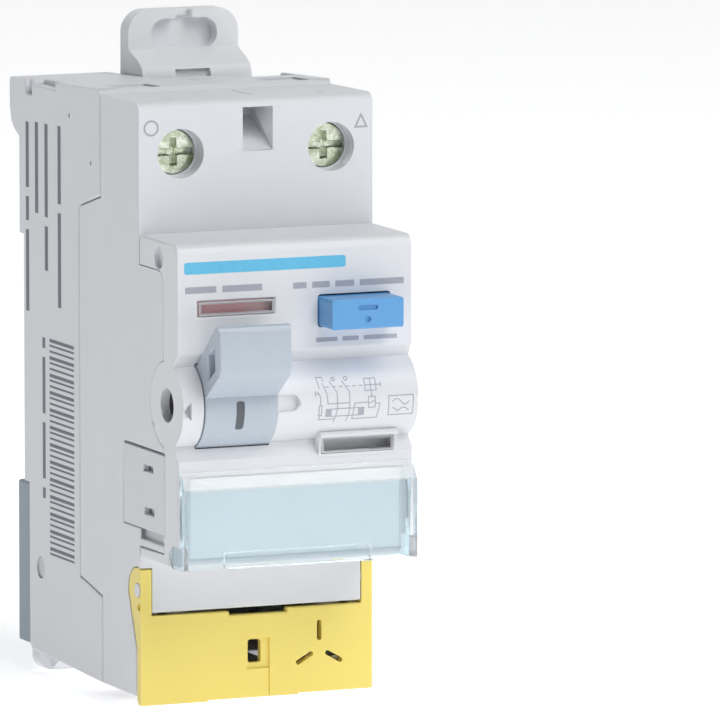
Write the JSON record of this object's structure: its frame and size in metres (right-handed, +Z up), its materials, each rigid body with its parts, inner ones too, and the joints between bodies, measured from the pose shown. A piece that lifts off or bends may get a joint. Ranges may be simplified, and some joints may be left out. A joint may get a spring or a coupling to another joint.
{
  "type": "residual current device",
  "caption": "Two-pole residual current circuit breaker for a DIN rail, with toggle, test button, state windows, hinged covers and rail clips.",
  "frame": {"origin": "centre of the DIN-rail seat, on the plane of the rail's face", "axes": "+X to the right seen from the front, +Y from the front towards the rail, +Z up"},
  "size_m": [0.035, 0.0706, 0.0938],
  "materials": {
    "body_grey": "fine texture",
    "front_grey": "fine texture",
    "toggle_grey": "satin",
    "button_blue": "satin",
    "flag_red": "matte",
    "flag_grey": "matte",
    "clear": "clear plastic",
    "cover_clear": "clear tinted plastic",
    "cover_yellow": "satin",
    "card": "plain",
    "clip_white": "fine texture",
    "clip_grey": "fine texture",
    "plated_steel": "zinc plated",
    "steel": "bright",
    "spring_steel": "bright",
    "copper": "bright copper",
    "silver": "satin silver",
    "brass": "bright",
    "black_plastic": "matte",
    "relay_case": "matte",
    "lever_plastic": "matte",
    "core": "dull",
    "winding": "lacquered",
    "board": "lacquered",
    "resistor": "matte",
    "component": "matte"
  },
  "bodies": {
    "body": {"housing_base": "body_grey", "housing_front": "body_grey", "nose_cover": "front_grey", "side_plates": "front_grey", "assembly_pins": "body_grey", "mechanism_frame": "steel", "carrier_pin": "steel", "fixed_contact_tips": "silver", "busbar_top_left": "copper", "busbar_top_right": "copper", "busbar_bottom_left": "copper", "busbar_bottom_right": "copper", "primary_conductor_left": "winding", "primary_conductor_right": "winding", "toroid_core": "core", "toroid_case": "black_plastic", "secondary_winding": "winding", "trip_relay": "relay_case", "trip_lever_pin": "steel", "trip_lens": "clear", "test_resistor": "resistor", "circuit_board": "board", "board_components": "component", "indicator_lens": "clear", "label_insert": "card", "toggle_spring": "spring_steel"},
    "toggle": {"toggle": "toggle_grey"},
    "drive_link": {"drive_link": "steel"},
    "contact_carrier": {"contact_carrier": "black_plastic", "contact_arm_left": "copper", "contact_arm_right": "copper", "moving_contact_tips": "silver", "contact_springs": "spring_steel"},
    "indicator_flag": {"indicator_flag": "flag_red"},
    "relay_plunger": {"relay_plunger": "brass"},
    "trip_lever": {"trip_lever": "lever_plastic"},
    "trip_flag": {"trip_flag": "flag_grey"},
    "test_button": {"test_button": "button_blue", "test_spring": "spring_steel"},
    "test_blade": {"test_blade": "brass"},
    "label_cover": {"label_cover": "cover_clear"},
    "terminal_cover": {"terminal_cover": "cover_yellow"},
    "din_clip_upper": {"din_clip_upper": "clip_white"},
    "din_clip_lower": {"din_clip_lower": "clip_grey", "clip_release_tab": "clip_white"},
    "terminal_screw_top_left": {"terminal_screw_top_left": "plated_steel"},
    "cage_top_left": {"cage_top_left": "plated_steel"},
    "terminal_screw_bottom_left": {"terminal_screw_bottom_left": "plated_steel"},
    "cage_bottom_left": {"cage_bottom_left": "plated_steel"},
    "terminal_screw_top_right": {"terminal_screw_top_right": "plated_steel"},
    "cage_top_right": {"cage_top_right": "plated_steel"},
    "terminal_screw_bottom_right": {"terminal_screw_bottom_right": "plated_steel"},
    "cage_bottom_right": {"cage_bottom_right": "plated_steel"},
    "wire_flap_left": {"wire_flap_left": "front_grey"},
    "wire_flap_right": {"wire_flap_right": "front_grey"}
  },
  "joints": [
    {"name": "toggle_hinge", "type": "hinge", "parent": "body", "child": "toggle", "pos_m": [0, -0.0542, 0], "axis": [1, 0, 0], "range_deg": [0, 71]},
    {"name": "link_hinge", "type": "hinge", "parent": "toggle", "child": "drive_link", "pos_m": [0, -0.05049, 0.00197], "axis": [1, 0, 0], "range_deg": [-92, 0]},
    {"name": "carrier_hinge", "type": "hinge", "parent": "body", "child": "contact_carrier", "pos_m": [0, -0.033, -0.005], "axis": [1, 0, 0], "range_deg": [0, 14.5]},
    {"name": "flag_slide", "type": "slide", "parent": "body", "child": "indicator_flag", "axis": [0, 0, 1], "range_m": [0, 0.0046]},
    {"name": "plunger_slide", "type": "slide", "parent": "body", "child": "relay_plunger", "axis": [0, -1, 0], "range_m": [0, 0.0018]},
    {"name": "trip_lever_hinge", "type": "hinge", "parent": "body", "child": "trip_lever", "pos_m": [0, -0.031, 0.0115], "axis": [1, 0, 0], "range_deg": [-15.5, 0]},
    {"name": "trip_flag_slide", "type": "slide", "parent": "body", "child": "trip_flag", "axis": [0, 0, -1], "range_m": [0, 0.0031]},
    {"name": "test_button_slide", "type": "slide", "parent": "body", "child": "test_button", "axis": [0, 1, 0], "range_m": [0, 0.0022], "stiffness_N_per_m": 200, "springref_m": -0.002},
    {"name": "test_blade_hinge", "type": "hinge", "parent": "body", "child": "test_blade", "pos_m": [0, -0.04635, 0.003], "axis": [1, 0, 0], "range_deg": [-12.5, 0]},
    {"name": "label_cover_hinge", "type": "hinge", "parent": "body", "child": "label_cover", "pos_m": [0, -0.0563, -0.021], "axis": [1, 0, 0], "range_deg": [0, 95]},
    {"name": "terminal_cover_hinge", "type": "hinge", "parent": "body", "child": "terminal_cover", "pos_m": [0, -0.0429, -0.0273], "axis": [1, 0, 0], "range_deg": [-90, 0]},
    {"name": "cage_top_left_slide", "type": "slide", "parent": "body", "child": "cage_top_left", "axis": [0, 1, 0], "range_m": [0, 0.0056]},
    {"name": "screw_top_left_turn", "type": "hinge", "parent": "body", "child": "terminal_screw_top_left", "pos_m": [-0.01125, -0.0392, 0.0334], "axis": [0, -1, 0], "range_deg": [0, 2525]},
    {"name": "cage_bottom_left_slide", "type": "slide", "parent": "body", "child": "cage_bottom_left", "axis": [0, 1, 0], "range_m": [0, 0.0056]},
    {"name": "screw_bottom_left_turn", "type": "hinge", "parent": "body", "child": "terminal_screw_bottom_left", "pos_m": [-0.01125, -0.0392, -0.035], "axis": [0, -1, 0], "range_deg": [0, 2525]},
    {"name": "cage_top_right_slide", "type": "slide", "parent": "body", "child": "cage_top_right", "axis": [0, 1, 0], "range_m": [0, 0.0056]},
    {"name": "screw_top_right_turn", "type": "hinge", "parent": "body", "child": "terminal_screw_top_right", "pos_m": [0.01125, -0.0392, 0.0334], "axis": [0, -1, 0], "range_deg": [0, 2525]},
    {"name": "cage_bottom_right_slide", "type": "slide", "parent": "body", "child": "cage_bottom_right", "axis": [0, 1, 0], "range_m": [0, 0.0056]},
    {"name": "screw_bottom_right_turn", "type": "hinge", "parent": "body", "child": "terminal_screw_bottom_right", "pos_m": [0.01125, -0.0392, -0.035], "axis": [0, -1, 0], "range_deg": [0, 2525]},
    {"name": "wire_flap_left_hinge", "type": "hinge", "parent": "body", "child": "wire_flap_left", "pos_m": [-0.01125, -0.0238, 0.0399], "axis": [1, 0, 0], "range_deg": [0, 80], "stiffness_Nm_per_rad": 0.0005, "springref_deg": -28.65},
    {"name": "wire_flap_right_hinge", "type": "hinge", "parent": "body", "child": "wire_flap_right", "pos_m": [0.01125, -0.0238, 0.0399], "axis": [1, 0, 0], "range_deg": [0, 80], "stiffness_Nm_per_rad": 0.0005, "springref_deg": -28.65},
    {"name": "upper_clip_slide", "type": "slide", "parent": "body", "child": "din_clip_upper", "axis": [0, 0, 1], "range_m": [0, 0.005]},
    {"name": "lower_clip_slide", "type": "slide", "parent": "body", "child": "din_clip_lower", "axis": [0, 0, -1], "range_m": [0, 0.005]}
  ],
  "couplings": [
    {"joint": "link_hinge", "follows": "toggle_hinge", "ratio": -1.281},
    {"joint": "carrier_hinge", "follows": "toggle_hinge", "ratio": 0.19718},
    {"joint": "flag_slide", "follows": "toggle_hinge", "m_per_rad": 0.003655},
    {"joint": "trip_lever_hinge", "follows": "plunger_slide", "rad_per_m": -145.44},
    {"joint": "trip_flag_slide", "follows": "plunger_slide", "ratio": 1.6667},
    {"joint": "test_blade_hinge", "follows": "test_button_slide", "rad_per_m": -95},
    {"joint": "screw_top_left_turn", "follows": "cage_top_left_slide", "rad_per_m": 7854},
    {"joint": "screw_bottom_left_turn", "follows": "cage_bottom_left_slide", "rad_per_m": 7854},
    {"joint": "screw_top_right_turn", "follows": "cage_top_right_slide", "rad_per_m": 7854},
    {"joint": "screw_bottom_right_turn", "follows": "cage_bottom_right_slide", "rad_per_m": 7854}
  ]
}
